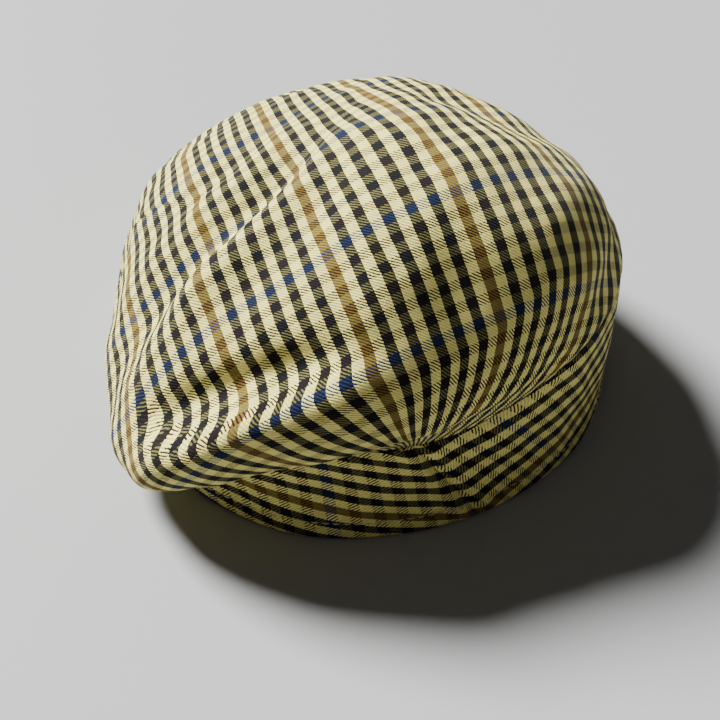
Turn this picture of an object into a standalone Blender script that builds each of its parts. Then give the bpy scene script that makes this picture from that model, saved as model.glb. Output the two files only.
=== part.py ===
"""Flat cap of checked cloth: a crown of three panels over a stiffened peak.

Metres, +Z up, the peak toward -Y, the wearer's left toward +X.  The crown's
surface is a loft of twelve sections round the head opening.  Each panel is a
patch of that surface with the cloth's thickness inside it.
"""
from collections import namedtuple

import bpy
import numpy as np

# Head opening: an oval, a little squarer than an ellipse
RIM_HALF_WIDTH = 0.084
RIM_HALF_LENGTH = 0.101
RIM_SQUARENESS = 2.24

# Crown: highest point and how far it sits from the middle of the opening
CROWN_HEIGHT = 0.0965
CROWN_TO_LEFT = 0.002
CROWN_TO_BACK = 0.028
INNER_SHARE = 0.34

# Cloth and seams
CLOTH = 0.0018
SEAM_GAP = 0.0003
BACK_SEAM_FOOT = -4.0
BACK_SEAM_TOP = 9.0
SIDE_PANEL_END = 126.0
SIDE_SEAM_DROP = 30.0
SIDE_SEAM_END_LEVEL = 0.22
PANEL_END_STEP = (0.25, 0.95)
END_CLEARANCE = 0.5

# Peak
PEAK_HALF_WIDTH = 0.058
PEAK_ROOT = 0.060
PEAK_REACH = 0.084
PEAK_THICKNESS = 0.003
PEAK_ARCH = 0.007
PEAK_INNER_SHARE = 0.965
PEAK_SIDE = 131.0
PEAK_LAP = 8.0
PEAK_BLEND = 4.0
PEAK_SWEEP = 84.0

# Mesh density
TOP_COLUMNS = 90
TOP_ROWS = 22
SIDE_ROWS = 7
PEAK_COLUMNS = 30
PEAK_ROWS = 6
COLUMNS = np.arange(TOP_COLUMNS) * 360.0 / TOP_COLUMNS

# How fast each panel climbs at least from its lower edge, and for how far
LEAST_CLIMB = 0.4
CLIMB_REACH = 0.005
SIDE_CLIMB = 0.6

# Share of the crown's offset taken at each level of a section
LEVEL_SHIFT = (0.0, 0.25, 0.4, 0.6, 0.8, 0.95, 1.0)
TOP_LEVEL = len(LEVEL_SHIFT) - 1.0

# One row per section, by direction in degrees from the back toward the
# wearer's left.  Reaches are shares of the opening's radius in that
# direction, heights are shares of the crown's height.
Section = namedtuple("Section", (
    "direction", "foot_reach", "seam_reach", "seam_height", "bulge_reach", "bulge_height",
    "shoulder_reach", "shoulder_height", "brow_reach", "brow_height", "inner_height"))
SECTIONS = (
    Section(0, 1.00, 0.86, 0.33, 0.85, 0.46, 0.76, 0.62, 0.56, 0.82, 0.96),
    Section(30, 1.01, 0.90, 0.31, 0.95, 0.40, 0.89, 0.53, 0.67, 0.70, 0.90),
    Section(60, 1.02, 1.03, 0.10, 1.17, 0.18, 1.09, 0.36, 0.76, 0.64, 0.84),
    Section(90, 1.01, 1.02, 0.09, 1.06, 0.20, 0.93, 0.42, 0.67, 0.68, 0.83),
    Section(120, 1.00, 0.97, 0.12, 0.93, 0.26, 0.86, 0.48, 0.64, 0.69, 0.84),
    Section(150, 1.09, 1.07, 0.19, 1.03, 0.30, 0.93, 0.47, 0.69, 0.69, 0.86),
    Section(180, 1.32, 1.31, 0.21, 1.24, 0.33, 1.03, 0.52, 0.73, 0.75, 0.90),
    Section(210, 1.12, 1.11, 0.21, 1.08, 0.34, 0.98, 0.57, 0.75, 0.80, 0.95),
    Section(240, 1.03, 1.02, 0.30, 1.00, 0.42, 0.91, 0.66, 0.70, 0.86, 0.99),
    Section(270, 1.08, 1.05, 0.48, 0.99, 0.60, 0.89, 0.75, 0.67, 0.90, 1.00),
    Section(300, 1.09, 1.04, 0.50, 0.95, 0.66, 0.86, 0.78, 0.66, 0.92, 1.01),
    Section(330, 1.02, 0.94, 0.48, 0.89, 0.59, 0.80, 0.72, 0.62, 0.87, 0.99),
)

# One row per fold: start, middle and end as shares of the opening's half
# width, half length and the crown's height, then the width as a share of the
# half width and the height as a share of the crown's height (a negative
# height is a valley)
Fold = namedtuple("Fold", ("start", "middle", "end", "width", "height"))
FOLDS = (
    Fold((1.10, 0.46, 0.26), (0.62, 0.34, 0.74), (-0.05, 0.18, 0.99), 0.107, 0.048),
    Fold((1.08, 0.26, 0.26), (0.60, 0.18, 0.72), (-0.05, 0.02, 0.98), 0.119, -0.066),
    Fold((0.90, -0.14, 0.42), (0.50, -0.14, 0.76), (-0.12, -0.42, 0.88), 0.107, -0.041),
    Fold((1.14, 0.54, 0.27), (0.75, 0.70, 0.54), (0.24, 0.86, 0.72), 0.077, -0.052),
    Fold((1.12, 0.64, 0.23), (0.76, 0.79, 0.47), (0.26, 0.90, 0.65), 0.077, 0.045),
    Fold((-0.30, -0.10, 1.02), (-0.52, 0.10, 0.96), (-0.78, 0.42, 0.80), 0.143, -0.023),
)
FOLD_STEPS = 49
FOLD_BLEND = 0.004
FOLD_CENTRE = (0.0, 0.20, 0.20)
NORMAL_STEP = 0.02
NORMAL_TURN = 1.0


def smooth(x, low, high):
    """0 below low, 1 above high, with an even change between."""
    t = np.clip((x - low) / (high - low), 0.0, 1.0)
    return t * t * (3.0 - 2.0 * t)


def spline(p0, p1, p2, p3, t):
    """Catmull-Rom between p1 and p2."""
    a = 2.0 * p1
    b = (p2 - p0) * t
    c = (2.0 * p0 - 5.0 * p1 + 4.0 * p2 - p3) * t * t
    d = (3.0 * p1 - p0 - 3.0 * p2 + p3) * t ** 3
    return 0.5 * (a + b + c + d)


def opening_radius(direction):
    """Radius of the head opening in a direction in degrees."""
    s = np.abs(np.sin(np.radians(direction))) / RIM_HALF_WIDTH
    c = np.abs(np.cos(np.radians(direction))) / RIM_HALF_LENGTH
    return (s ** RIM_SQUARENESS + c ** RIM_SQUARENESS) ** (-1.0 / RIM_SQUARENESS)


def toward(direction, radius):
    """Plan point at a radius in a direction."""
    a = np.radians(direction)
    return np.stack([np.sin(a) * radius, np.cos(a) * radius], -1)


def from_front(direction):
    """Degrees between a direction and the front."""
    return np.abs((direction % 360.0) - 180.0)


def peak_top(x):
    """Height of the peak's upper face."""
    arch = PEAK_ARCH * np.clip(1.0 - (x / PEAK_HALF_WIDTH) ** 2, 0.0, 1.0)
    return arch + PEAK_THICKNESS


def foot_height(direction, x):
    """Height of the crown's lower edge: the floor, or the peak's top."""
    lap = smooth(180.0 - from_front(direction), PEAK_SIDE - PEAK_BLEND, PEAK_SIDE + PEAK_BLEND)
    return lap * (peak_top(x) + SEAM_GAP)


def section_net():
    """Control points of every section, level by level."""
    net = np.zeros((len(SECTIONS), len(LEVEL_SHIFT), 3))
    for i, s in enumerate(SECTIONS):
        reach = (s.foot_reach, s.seam_reach, s.bulge_reach, s.shoulder_reach, s.brow_reach, INNER_SHARE, 0.0)
        height = (0.0, s.seam_height, s.bulge_height, s.shoulder_height, s.brow_height, s.inner_height, 1.0)
        radius = opening_radius(s.direction)
        for k, shift in enumerate(LEVEL_SHIFT):
            net[i, k, :2] = toward(s.direction, radius * reach[k])
            net[i, k, 0] += CROWN_TO_LEFT * shift
            net[i, k, 1] += CROWN_TO_BACK * shift
            net[i, k, 2] = height[k] * CROWN_HEIGHT
        net[i, 0, 2] = foot_height(float(s.direction), net[i, 0, 0])
    return net


NET = section_net()


def round_sections(direction, level=None):
    """Points of the net interpolated round the head at a direction."""
    count = len(NET)
    u = (direction % 360.0) * count / 360.0
    i = np.floor(u).astype(int)
    t = u - i
    t = t[..., None, None] if level is None else t[..., None]
    net = NET if level is None else NET[:, level]
    return spline(net[(i - 1) % count], net[i % count], net[(i + 1) % count], net[(i + 2) % count], t)


def fold_lines():
    """Sampled middle lines of the folds with their widths and heights."""
    size = np.array([RIM_HALF_WIDTH, RIM_HALF_LENGTH, CROWN_HEIGHT])
    t = np.linspace(0.0, 1.0, FOLD_STEPS)[:, None]
    lines = []
    for fold in FOLDS:
        a, b, c = np.array((fold.start, fold.middle, fold.end)) * size
        control = 2.0 * b - 0.5 * (a + c)
        line = a * (1.0 - t) ** 2 + 2.0 * control * t * (1.0 - t) + c * t * t
        lines.append((line, fold.width * RIM_HALF_WIDTH, fold.height * CROWN_HEIGHT))
    return lines


FOLD_LINES = fold_lines()


def folded(p):
    """Moves points in or out of the crown along its folds."""
    size = np.array([RIM_HALF_WIDTH, RIM_HALF_LENGTH, CROWN_HEIGHT])
    out = p - np.array(FOLD_CENTRE) * size
    out = out / np.linalg.norm(out, axis=-1, keepdims=True)
    move = np.zeros(p.shape[:-1])
    for line, width, height in FOLD_LINES:
        away = ((p[..., None, :] - line) ** 2).sum(-1)
        nearest = away.min(-1)
        weight = np.exp((nearest[..., None] - away) / FOLD_BLEND ** 2)
        along = (weight * np.linspace(0.0, 1.0, FOLD_STEPS)).sum(-1) / weight.sum(-1)
        taper = np.sin(np.pi * np.clip(along, 0.0, 1.0))
        move += height * taper * np.exp(-nearest / width ** 2)
    return p + out * move[..., None]


def surface(direction, level):
    """Outer face of the crown: direction in degrees, level 0 foot to 6 top."""
    direction, level = np.broadcast_arrays(np.asarray(direction, float), np.asarray(level, float))
    column = round_sections(direction)
    below = 2.0 * column[..., 0, :] - column[..., 1, :]
    beyond = round_sections(direction + 180.0, 5)
    column = np.concatenate([below[..., None, :], column, beyond[..., None, :]], axis=-2)
    k = np.clip(np.floor(level).astype(int), 0, len(LEVEL_SHIFT) - 2)
    picks = [np.take_along_axis(column, (k + n)[..., None, None], axis=-2)[..., 0, :] for n in range(4)]
    p = spline(*picks, (level - k)[..., None])
    return folded(p)


def normals(direction, level):
    """Outward unit normals of the surface."""
    low = np.clip(level - NORMAL_STEP, 0.0, TOP_LEVEL)
    high = np.clip(level + NORMAL_STEP, 0.0, TOP_LEVEL)
    up = surface(direction, high) - surface(direction, low)
    along = surface(direction + NORMAL_TURN, level) - surface(direction - NORMAL_TURN, level)
    n = np.cross(up, along)
    return n / np.linalg.norm(n, axis=-1, keepdims=True)


def seam_level(direction):
    """Level of the seam between the top panel and a side panel."""
    back = 180.0 - from_front(direction)
    drop = smooth(back, SIDE_PANEL_END - SIDE_SEAM_DROP, SIDE_PANEL_END)
    return 1.0 - (1.0 - SIDE_SEAM_END_LEVEL) * drop


def back_seam(share):
    """Direction of the back seam at a share of the side panel's height."""
    return BACK_SEAM_FOOT + (BACK_SEAM_TOP - BACK_SEAM_FOOT) * share


def level_gap(direction, level):
    """Half the seam gap, in levels, at a place on the surface."""
    step = surface(direction, level + NORMAL_STEP) - surface(direction, level)
    return 0.5 * SEAM_GAP * NORMAL_STEP / np.linalg.norm(step, axis=-1)


def quads(a, b, c, d, faces):
    """Two triangles across four corners."""
    faces.append((a, b, c))
    faces.append((a, c, d))


def climb(grid, foot):
    """Least height of each point of a grid above its lower edge."""
    step = np.linalg.norm(np.diff(grid, axis=1), axis=-1)
    run = np.concatenate([np.zeros((len(grid), 1)), np.cumsum(step, axis=1)], axis=1)
    return foot[:, None] + LEAST_CLIMB * np.minimum(run, CLIMB_REACH)


def closed_top():
    """Top panel: a cap-shaped grid closed by one point at the top."""
    step = SIDE_PANEL_END + np.array(PANEL_END_STEP)
    direction = np.unique(np.concatenate([COLUMNS, step, 360.0 - step]))
    beside = 180.0 - from_front(direction) < SIDE_PANEL_END + np.mean(PANEL_END_STEP)
    start = np.where(beside, seam_level(direction), 0.0)
    start = start + np.where(beside, level_gap(direction, start), 0.0)
    share = np.linspace(0.0, 1.0, TOP_ROWS + 1)[:-1]
    grid = np.repeat(direction[:, None], TOP_ROWS, 1)
    level = start[:, None] + (TOP_LEVEL - start[:, None]) * share
    outer = surface(grid, level)
    inner = outer - CLOTH * normals(grid, level)
    lap = ~beside
    outer[lap, :, 2] = np.maximum(outer[lap, :, 2], climb(outer[lap], foot_height(direction[lap], outer[lap, 0, 0])))
    flat = inner[lap, 0, :2] - outer[lap, 0, :2]
    flat = flat / np.linalg.norm(flat, axis=-1, keepdims=True)
    inner[lap, 0, :2] = outer[lap, 0, :2] + flat * CLOTH
    rest = foot_height(grid[lap], inner[lap, :, 0])
    inner[lap, 0, 2] = rest[:, 0]
    inner[lap, 1:, 2] = np.maximum(inner[lap, 1:, 2], rest[:, 1:])
    top = surface(0.0, TOP_LEVEL)
    verts = np.concatenate([outer.reshape(-1, 3), inner.reshape(-1, 3), [top, top - [0.0, 0.0, CLOTH]]])
    count, rows = grid.shape
    size = count * rows
    faces = []
    for i in range(count):
        j = (i + 1) % count
        for k in range(rows - 1):
            a, b, c, d = i * rows + k, j * rows + k, j * rows + k + 1, i * rows + k + 1
            quads(b, a, d, c, faces)
            quads(size + a, size + b, size + c, size + d, faces)
        quads(i * rows, j * rows, size + j * rows, size + i * rows, faces)
        faces.append((j * rows + rows - 1, i * rows + rows - 1, 2 * size))
        faces.append((size + i * rows + rows - 1, size + j * rows + rows - 1, 2 * size + 1))
    return verts, faces


def closed_patch(outer, inner):
    """Closed solid between two grids of the same shape."""
    count, rows = outer.shape[:2]
    size = count * rows
    verts = np.concatenate([outer.reshape(-1, 3), inner.reshape(-1, 3)])
    faces = []
    for i in range(count - 1):
        for k in range(rows - 1):
            a, b, c, d = i * rows + k, (i + 1) * rows + k, (i + 1) * rows + k + 1, i * rows + k + 1
            quads(b, a, d, c, faces)
            quads(size + a, size + b, size + c, size + d, faces)
        a, b = i * rows, (i + 1) * rows
        quads(a, b, size + b, size + a, faces)
        a, b = a + rows - 1, b + rows - 1
        quads(b, a, size + a, size + b, faces)
    for k in range(rows - 1):
        quads(k + 1, k, size + k, size + k + 1, faces)
        a = (count - 1) * rows + k
        quads(a, a + 1, size + a + 1, size + a, faces)
    return verts, faces


def side_panel(left):
    """Side panel from the back seam forward to its end beside the peak."""
    rows = np.linspace(0.0, 1.0, SIDE_ROWS)
    side = 1.0 if left else -1.0
    begin = back_seam(rows) + side * np.degrees(0.5 * SEAM_GAP / RIM_HALF_LENGTH)
    end = side * SIDE_PANEL_END
    along = side * np.sort(side * np.concatenate([COLUMNS, COLUMNS - 360.0]))
    between = (along - begin[-1]) * side > END_CLEARANCE
    between &= (end - along) * side > END_CLEARANCE
    along = np.concatenate([[begin[-1]], along[between], [end]])
    share = (along - begin[-1]) / (end - begin[-1])
    direction = begin + (end - begin) * share[:, None]
    top = seam_level(direction)
    top = top - level_gap(direction, top)
    level = top * rows
    outer = surface(direction, level)
    outer[..., 2] = np.maximum(outer[..., 2], SIDE_CLIMB * rows * outer[:, -1:, 2])
    outer[:, 0, 2] = 0.0
    inner = outer - CLOTH * normals(direction, level)
    flat = inner[:, 0, :2] - outer[:, 0, :2]
    flat = flat / np.linalg.norm(flat, axis=-1, keepdims=True)
    inner[:, 0, :2] = outer[:, 0, :2] + flat * CLOTH
    inner[:, 0, 2] = 0.0
    inner[:, 1:, 2] = np.maximum(inner[:, 1:, 2], SIDE_CLIMB * outer[:, 1:, 2])
    if left:
        return closed_patch(outer, inner)
    return closed_patch(outer[::-1], inner[::-1])


def peak():
    """Peak: a crescent with an even thickness, arched across its width."""
    half = 180.0 - PEAK_SIDE
    t = np.linspace(-1.0, 1.0, PEAK_COLUMNS)
    root = toward(180.0 - t * (half - PEAK_LAP), 1.0)
    root = root * (opening_radius(180.0 - t * (half - PEAK_LAP)) * PEAK_INNER_SHARE)[:, None]
    sweep = t * np.radians(PEAK_SWEEP)
    edge = np.stack([PEAK_HALF_WIDTH * np.sin(sweep), -PEAK_ROOT - PEAK_REACH * np.cos(sweep)], -1)
    share = np.linspace(0.0, 1.0, PEAK_ROWS)[:, None]
    plan = root[:, None] * (1.0 - share) + edge[:, None] * share
    top = peak_top(plan[..., 0])
    outer = np.concatenate([plan, top[..., None]], -1)
    inner = np.concatenate([plan, top[..., None] - PEAK_THICKNESS], -1)
    return closed_patch(outer, inner)


def clear_scene():
    """Removes whatever the scene holds."""
    for obj in list(bpy.data.objects):
        bpy.data.objects.remove(obj, do_unlink=True)


def material(name, color, roughness):
    """Principled material with one colour."""
    mat = bpy.data.materials.new(name)
    mat.use_nodes = True
    shader = mat.node_tree.nodes["Principled BSDF"]
    shader.inputs["Base Color"].default_value = (*color, 1.0)
    shader.inputs["Roughness"].default_value = roughness
    return mat


def add(name, solid, shift, mat):
    """Makes one object from vertices and faces."""
    verts, faces = solid
    mesh = bpy.data.meshes.new(name)
    mesh.from_pydata((verts - shift).tolist(), [], faces)
    mesh.validate()
    mesh.update()
    obj = bpy.data.objects.new(name, mesh)
    obj.data.materials.append(mat)
    bpy.context.scene.collection.objects.link(obj)
    return obj


def main():
    clear_scene()
    solids = {
        "top_panel": closed_top(),
        "side_panel_left": side_panel(True),
        "side_panel_right": side_panel(False),
        "peak": peak(),
    }
    colors = {
        "top_panel": (0.50, 0.45, 0.27),
        "side_panel_left": (0.46, 0.41, 0.25),
        "side_panel_right": (0.44, 0.40, 0.25),
        "peak": (0.42, 0.38, 0.24),
    }
    every = np.concatenate([verts for verts, faces in solids.values()])
    low, high = every.min(0), every.max(0)
    shift = np.array([0.5 * (low[0] + high[0]), 0.5 * (low[1] + high[1]), low[2]])
    for name, solid in solids.items():
        add(name, solid, shift, material(name + "_cloth", colors[name], 0.9))


main()
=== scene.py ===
"""Dresses a flat cap: checked twill panels, seams, hem stitching and a studio.

Metres, +Z up, the peak toward -Y, the wearer's left toward +X.
"""
from collections import namedtuple

import bpy
import numpy as np
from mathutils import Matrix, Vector


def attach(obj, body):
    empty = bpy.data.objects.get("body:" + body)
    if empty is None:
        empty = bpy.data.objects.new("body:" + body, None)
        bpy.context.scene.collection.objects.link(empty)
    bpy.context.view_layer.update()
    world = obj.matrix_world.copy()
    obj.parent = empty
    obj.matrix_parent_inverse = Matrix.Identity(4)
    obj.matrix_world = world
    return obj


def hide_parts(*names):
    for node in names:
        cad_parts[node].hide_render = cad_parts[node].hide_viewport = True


bl_info = {
    "name": "Flat Cap Dressing",
    "version": (1, 0, 0),
    "blender": (4, 5, 0),
    "location": "View3D > Sidebar > Flat Cap",
    "description": "Makes the fine cloth panels, stitches and studio of a checked flat cap",
    "category": "Object",
}

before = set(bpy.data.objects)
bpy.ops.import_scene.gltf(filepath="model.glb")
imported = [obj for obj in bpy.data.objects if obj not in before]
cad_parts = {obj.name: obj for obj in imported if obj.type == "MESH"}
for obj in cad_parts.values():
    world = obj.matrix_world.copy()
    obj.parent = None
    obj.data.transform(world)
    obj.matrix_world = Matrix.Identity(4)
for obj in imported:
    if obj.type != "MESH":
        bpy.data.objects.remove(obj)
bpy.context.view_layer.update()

# Middle of the head opening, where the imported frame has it
RIM_CENTRE = (-0.00191245, 0.02144538, 0.0)

# Head opening and crown
RIM_HALF_WIDTH = 0.084
RIM_HALF_LENGTH = 0.101
RIM_SQUARENESS = 2.24
CROWN_HEIGHT = 0.0965
CROWN_TO_LEFT = 0.002
CROWN_TO_BACK = 0.028
INNER_SHARE = 0.34

# Panels
CLOTH = 0.0018
SEAM_GAP = 0.0003
BACK_SEAM_FOOT = -4.0
BACK_SEAM_TOP = 9.0
SIDE_PANEL_END = 126.0
SIDE_SEAM_DROP = 30.0
SIDE_SEAM_END_LEVEL = 0.22
TOP_LEVEL = 6.0

# Peak
PEAK_HALF_WIDTH = 0.058
PEAK_ROOT = 0.060
PEAK_REACH = 0.084
PEAK_THICKNESS = 0.003
PEAK_ARCH = 0.007
PEAK_INNER_SHARE = 0.965
PEAK_SIDE = 131.0
PEAK_BLEND = 4.0
PEAK_LAP = 8.0
PEAK_SWEEP = 84.0

# Share of the crown's offset taken at each level of a section
LEVEL_SHIFT = (0.0, 0.25, 0.4, 0.6, 0.8, 0.95, 1.0)

# One row per section, by direction in degrees from the back toward the
# wearer's left.  Reaches are shares of the opening's radius in that
# direction, heights are shares of the crown's height.
Section = namedtuple("Section", (
    "direction", "foot_reach", "seam_reach", "seam_height", "bulge_reach", "bulge_height",
    "shoulder_reach", "shoulder_height", "brow_reach", "brow_height", "inner_height"))
SECTIONS = (
    Section(0, 1.00, 0.86, 0.33, 0.85, 0.46, 0.76, 0.62, 0.56, 0.82, 0.96),
    Section(30, 1.01, 0.90, 0.31, 0.95, 0.40, 0.89, 0.53, 0.67, 0.70, 0.90),
    Section(60, 1.02, 1.03, 0.10, 1.17, 0.18, 1.09, 0.36, 0.76, 0.64, 0.84),
    Section(90, 1.01, 1.02, 0.09, 1.06, 0.20, 0.93, 0.42, 0.67, 0.68, 0.83),
    Section(120, 1.00, 0.97, 0.12, 0.93, 0.26, 0.86, 0.48, 0.64, 0.69, 0.84),
    Section(150, 1.09, 1.07, 0.19, 1.03, 0.30, 0.93, 0.47, 0.69, 0.69, 0.86),
    Section(180, 1.32, 1.31, 0.21, 1.24, 0.33, 1.03, 0.52, 0.73, 0.75, 0.90),
    Section(210, 1.12, 1.11, 0.21, 1.08, 0.34, 0.98, 0.57, 0.75, 0.80, 0.95),
    Section(240, 1.03, 1.02, 0.30, 1.00, 0.42, 0.91, 0.66, 0.70, 0.86, 0.99),
    Section(270, 1.08, 1.05, 0.48, 0.99, 0.60, 0.89, 0.75, 0.67, 0.90, 1.00),
    Section(300, 1.09, 1.04, 0.50, 0.95, 0.66, 0.86, 0.78, 0.66, 0.92, 1.01),
    Section(330, 1.02, 0.94, 0.48, 0.89, 0.59, 0.80, 0.72, 0.62, 0.87, 0.99),
)

# One row per fold: start, middle and end as shares of the opening's half
# width, half length and the crown's height, then the width as a share of the
# half width and the height as a share of the crown's height (a negative
# height is a valley)
Fold = namedtuple("Fold", ("start", "middle", "end", "width", "height"))
FOLDS = (
    Fold((1.10, 0.46, 0.26), (0.62, 0.34, 0.74), (-0.05, 0.18, 0.99), 0.107, 0.048),
    Fold((1.08, 0.26, 0.26), (0.60, 0.18, 0.72), (-0.05, 0.02, 0.98), 0.119, -0.066),
    Fold((0.90, -0.14, 0.42), (0.50, -0.14, 0.76), (-0.12, -0.42, 0.88), 0.107, -0.041),
    Fold((1.14, 0.54, 0.27), (0.75, 0.70, 0.54), (0.24, 0.86, 0.72), 0.077, -0.052),
    Fold((1.12, 0.64, 0.23), (0.76, 0.79, 0.47), (0.26, 0.90, 0.65), 0.077, 0.045),
    Fold((-0.30, -0.10, 1.02), (-0.52, 0.10, 0.96), (-0.78, 0.42, 0.80), 0.143, -0.023),
)

# Small creases in the same form
CREASES = (
    Fold((0.98, 0.80, 0.28), (0.80, 0.90, 0.36), (0.56, 0.98, 0.42), 0.060, -0.0124),
)
FOLD_STEPS = 49
FOLD_BLEND = 0.004
FOLD_CENTRE = (0.0, 0.20, 0.20)

# Soft unevenness of worn cloth: radians per metre along x, y and z, start of
# the wave in radians, height in metres
Swell = namedtuple("Swell", ("x", "y", "z", "start", "height"))
SWELLS = (
    Swell(210.0, 90.0, 60.0, 0.4, 0.00024),
    Swell(-120.0, 230.0, 40.0, 2.1, 0.00022),
    Swell(60.0, -150.0, 260.0, 4.0, 0.00020),
    Swell(330.0, 240.0, -180.0, 1.3, 0.00012),
    Swell(-290.0, 310.0, 150.0, 5.2, 0.00011),
)

# Where the laid-out top panel lies on the check: start in metres, share of
# its place across and along, then the bend by across squared, across times
# along and along squared, per metre
Grain = namedtuple("Grain", ("start", "across", "along", "across_twice", "both", "along_twice"))
GRAIN_ACROSS = Grain(0.0154, 1.005, -0.070, 0.03, -0.36, 0.83)
GRAIN_ALONG = Grain(-0.0264, -0.024, 0.898, -0.33, -0.11, 0.66)

# Where the crosswise rows stop spreading toward the front, in metres
GRAIN_FRONT = -0.08

# Cloth drawn together toward the top of the back seam: how high above the
# seam it begins, how wide the drawn part is and how tight its middle is in
# metres, how strongly it draws, how soon it eases upward, and the degrees
# from the back over which it fades
DRAW_HEIGHT = 0.033
DRAW_WIDTH = 0.100
DRAW_CORE = 0.005
DRAW_POWER = 0.45
DRAW_EASE = 1.4
DRAW_FADE = (80.0, 110.0)

# Slip of the cloth in the fold above the left droop: how far it slips in
# metres, the band above the seam where it happens in metres, and the
# directions over which it comes and goes in degrees
SLIP = 0.0050
SLIP_BAND = (0.035, 0.047)
SLIP_COMES = (10.0, 36.0)
SLIP_GOES = (62.0, 85.0)

# Angle between the side panels' grain and the rim in degrees, at the back
# seam and at the front end
SIDE_GRAIN = (-20.0, 16.0)

# Mesh density: columns and rows of each piece, the step between the rows
# that the top panel's inner face keeps, and how the rows crowd at an edge
TOP_COLUMNS = 400
TOP_ROWS = 160
INNER_STEP = 5
TOP_CROWDING = 0.55
SIDE_COLUMNS = 241
SIDE_ROWS = 46
PEAK_COLUMNS = 161
PEAK_ROWS = 49
PEAK_CROWDING = 1.6

# Laying out flat: grid steps with their rounds, how easily cloth gathers and
# how far past its balance each round moves it
LAY_OUT_STEPS = ((4, 500), (2, 200), (1, 100))
GATHER_PULL = 0.10
OVER_STEP = 1.6

# Where the top panel laps the peak: its least climb and over what length
LAP_CLIMB = 0.4
LAP_LENGTH = 0.005

# Evening out the crown's top: reach in metres, then the ring that the even
# sheet is fitted to and where it has given way, as shares of the reach
CALM_REACH = 0.022
CALM_RING = (0.35, 1.5)
CALM_END = 1.0

# Least height of a side panel's points, as a share of its top edge's, and
# of its inner face's, as a share of the outer's
SIDE_CLIMB = 0.6
SIDE_INNER_CLIMB = 0.5

# Panel heights over which the relief of the hem and the seam comes in, and
# lengths from an edge over which the unevenness does, in metres
LOW_PANEL = (0.004, 0.016)
SWELL_EDGE = 0.010
SWELL_HEM = 0.020

# Length over which the roll beside the back seam comes in above the rim
BACK_ROLL_RISE = 0.004

# Shape of one stitch: sides and rings of its mesh, how thick its ends are as
# a share of the thread, and how far ahead its direction is read
STITCH_SIDES = 6
STITCH_RINGS = 5
STITCH_END = 0.35
STITCH_LOOK = 0.0005

# The peak's edge: width of its rounding, least share of the thickness left
# there, and how far apart its side columns count as lying
PEAK_ROUNDING = 0.0016
PEAK_LEAST = 0.02
PEAK_SIDE_STEP = 0.0012

# Light and camera, as places from the middle of the head opening, and the
# camera's sensor in millimetres and its shift in pixels of the photograph
KEY_PLACE = (1.30, -2.50, 2.60)
CAMERA_PLACE = (0.10885, 0.26940, 0.25258)
CAMERA_NEAREST = 0.01
CAMERA_SHIFT_PIXELS = (20.0, -35.0)
FRAME_PIXELS = 720.0
SENSOR_WIDTH = 36.0


def smooth(x, low, high):
    """0 below low, 1 above high, with an even change between."""
    t = np.clip((x - low) / (high - low), 0.0, 1.0)
    return t * t * (3.0 - 2.0 * t)


def bell(x, width):
    """1 at zero, falling to nothing on both sides over a width."""
    return np.exp(-(x / width) ** 2)


def spline(p0, p1, p2, p3, t):
    """Catmull-Rom between p1 and p2."""
    a = 2.0 * p1
    b = (p2 - p0) * t
    c = (2.0 * p0 - 5.0 * p1 + 4.0 * p2 - p3) * t * t
    d = (3.0 * p1 - p0 - 3.0 * p2 + p3) * t ** 3
    return 0.5 * (a + b + c + d)


def opening_radius(direction):
    """Radius of the head opening in a direction in degrees."""
    s = np.abs(np.sin(np.radians(direction))) / RIM_HALF_WIDTH
    c = np.abs(np.cos(np.radians(direction))) / RIM_HALF_LENGTH
    return (s ** RIM_SQUARENESS + c ** RIM_SQUARENESS) ** (-1.0 / RIM_SQUARENESS)


def toward(direction, radius):
    """Plan point at a radius in a direction."""
    a = np.radians(direction)
    return np.stack([np.sin(a) * radius, np.cos(a) * radius], -1)


def from_back(direction):
    """Degrees between a direction and the back."""
    return 180.0 - np.abs((direction % 360.0) - 180.0)


def peak_top(x):
    """Height of the peak's upper face."""
    arch = PEAK_ARCH * np.clip(1.0 - (x / PEAK_HALF_WIDTH) ** 2, 0.0, 1.0)
    return arch + PEAK_THICKNESS


def foot_height(direction, x):
    """Height of the crown's lower edge: the floor, or the peak's top."""
    lap = smooth(from_back(direction), PEAK_SIDE - PEAK_BLEND, PEAK_SIDE + PEAK_BLEND)
    return lap * (peak_top(x) + SEAM_GAP)


def section_net():
    """Control points of every section, level by level."""
    net = np.zeros((len(SECTIONS), len(LEVEL_SHIFT), 3))
    for i, s in enumerate(SECTIONS):
        reach = (s.foot_reach, s.seam_reach, s.bulge_reach, s.shoulder_reach, s.brow_reach, INNER_SHARE, 0.0)
        height = (0.0, s.seam_height, s.bulge_height, s.shoulder_height, s.brow_height, s.inner_height, 1.0)
        radius = opening_radius(s.direction)
        for k, shift in enumerate(LEVEL_SHIFT):
            net[i, k, :2] = toward(s.direction, radius * reach[k])
            net[i, k, 0] += CROWN_TO_LEFT * shift
            net[i, k, 1] += CROWN_TO_BACK * shift
            net[i, k, 2] = height[k] * CROWN_HEIGHT
        net[i, 0, 2] = foot_height(float(s.direction), net[i, 0, 0])
    return net


NET = section_net()


def round_sections(direction, level=None):
    """Points of the net interpolated round the head at a direction."""
    count = len(NET)
    u = (direction % 360.0) * count / 360.0
    i = np.floor(u).astype(int)
    t = u - i
    t = t[..., None, None] if level is None else t[..., None]
    net = NET if level is None else NET[:, level]
    return spline(net[(i - 1) % count], net[i % count], net[(i + 1) % count], net[(i + 2) % count], t)


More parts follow.
